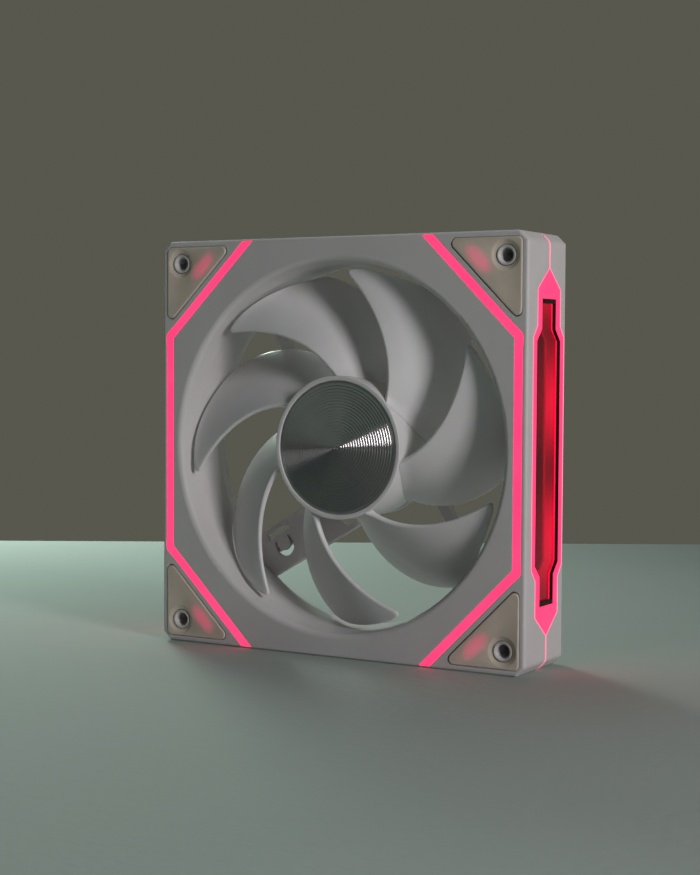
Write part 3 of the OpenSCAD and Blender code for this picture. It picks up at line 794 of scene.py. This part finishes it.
def build_pad(name, material):
    """A silicone pad with a rounded rim, and a dish round the mounting hole."""
    low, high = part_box(name)
    side_x = 1 if low.x > 0 else -1
    side_z = 1 if low.z > 0 else -1
    front = low.y < 0
    face = (low.y if front else high.y) / MM
    back = (high.y if front else low.y) / MM
    into = 1 if front else -1

    def place(x, y, z):
        return Vector((x * side_x, y, z * side_z)) * MM

    bm = bmesh.new()
    rim = [pad_loop(bm, 0, back, place)]
    for a in quarter(5):
        inset = PAD_LIP * (1 - math.cos(a))
        rim.append(pad_loop(bm, inset, face + into * PAD_LIP * (1 - math.sin(a)), place))
    rim.append(pad_loop(bm, PAD_LIP + 0.05, face, place))
    dish = []
    for i in range(DISH_STEPS + 1):
        t = i / DISH_STEPS
        depth = DISH_DEPTH * (1 - (1 - t) ** 2) * t ** 0.5
        radius = DISH_R + (PAD_HOLE_R + HOLE_EDGE - DISH_R) * t
        dish.append(hole_loop(bm, radius, face + into * depth, place))
    dish.append(hole_loop(bm, PAD_HOLE_R, face + into * (DISH_DEPTH + HOLE_EDGE), place))
    dish.append(hole_loop(bm, PAD_HOLE_R, back, place))
    skin(bm, rim)
    skin(bm, dish)
    fill_between(bm, rim[-1], dish[0])
    fill_between(bm, rim[0], dish[-1])
    piece = finish_mesh(bm, name + "_visual", material, 50)
    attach(piece, "frame")
    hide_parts(name)


def build_pads():
    """Four pads in front with a painted LED glow, and four plain ones behind."""
    lit = silicone("silicone_painted_glow", True)
    plain = silicone("silicone", False)
    for name in list(NODES):
        if name.startswith("front_pad_"):
            build_pad(name, lit)
        if name.startswith("rear_pad_"):
            build_pad(name, plain)


# ---------- surroundings ----------

FLOOR_HALF = 1.5
FLOOR_FRONT = 1.2
FLOOR_BACK = 0.34
SKY_FRONT = (0.017, 0.028, 0.0265)
SKY_BEHIND = (0.098, 0.097, 0.077)
SKY_SPREAD = 0.6
KEY_DIRECTION = (0.88, -0.355, 0.27)
KEY_DISTANCE = 1.1


def add_area(name, place, size, power, colour=(1, 1, 1), target=(0, 0, 0), spread=180):
    """A rectangular lamp of the given size in metres, aimed at target."""
    data = bpy.data.lights.new(name, "AREA")
    data.spread = math.radians(spread)
    data.shape = "RECTANGLE"
    data.size = size[0]
    data.size_y = size[1]
    data.energy = power
    data.color = colour
    lamp = bpy.data.objects.new(name, data)
    bpy.context.scene.collection.objects.link(lamp)
    lamp.location = place
    aim = Vector(target) - Vector(place)
    lamp.rotation_euler = aim.to_track_quat("-Z", "Y").to_euler()


def add_floor():
    """A plain pale table whose far edge is the horizon of the photograph's view."""
    m = Material("floor_paper", roughness=0.85, specular_ior_level=0.2)
    tone = m.noise(0.35, 4).smooth(0.3, 0.7)
    m.set("Base Color", m.mix(tone, (0.45, 0.49, 0.465), (0.40, 0.44, 0.415)))
    m.bump(m.noise(0.004, 4), 0.0002)
    bm = bmesh.new()
    corners = (
        (-FLOOR_HALF, -FLOOR_FRONT), (FLOOR_HALF, -FLOOR_FRONT),
        (FLOOR_HALF, FLOOR_BACK), (-FLOOR_HALF, FLOOR_BACK),
    )
    turn = Matrix.Rotation(math.radians(CAMERA_AZIMUTH), 3, "Z")
    bm.faces.new([bm.verts.new(turn @ Vector((x, y, cad_low.z))) for x, y in corners])
    finish_mesh(bm, "floor", m.data)


def add_backdrop():
    """A plain surrounding colour, lighter behind the fan than in front of it."""
    world = bpy.data.worlds.new("studio")
    world.use_nodes = True
    tree = world.node_tree
    where = tree.nodes.new("ShaderNodeTexCoord")
    split = tree.nodes.new("ShaderNodeSeparateXYZ")
    tree.links.new(where.outputs["Generated"], split.inputs[0])
    behind = Value(tree, split.outputs[1]).smooth(0.0, SKY_SPREAD)
    colour = blend_colours(tree, behind, SKY_FRONT, SKY_BEHIND)
    tree.links.new(colour, tree.nodes["Background"].inputs[0])
    bpy.context.scene.world = world


def add_lights():
    """A tall key from the right, a broad light above and a pool of light on the floor."""
    key_place = Vector(KEY_DIRECTION) * KEY_DISTANCE
    add_area("key", key_place, size=(0.24, 0.46), power=5.3)
    add_area(
        "top", (-0.35, 0.20, 0.85), size=(0.6, 0.35), power=1.2, colour=(0.84, 1.0, 0.97),
    )
    add_area(
        "floor_pool", (-0.75, 0.55, 0.45), size=(0.3, 0.3), power=3.4,
        colour=(0.79, 1.0, 0.88), target=(-0.62, 0.20, cad_low.z), spread=90,
    )


def set_view():
    """Shows each colour as it is, with no film look."""
    view = bpy.context.scene.view_settings
    view.view_transform = "Standard"
    view.look = "None"


add_camera()
paint_frame()
paint_motor()
build_impeller()
build_disc()
build_pads()
add_floor()
add_backdrop()
add_lights()
set_view()
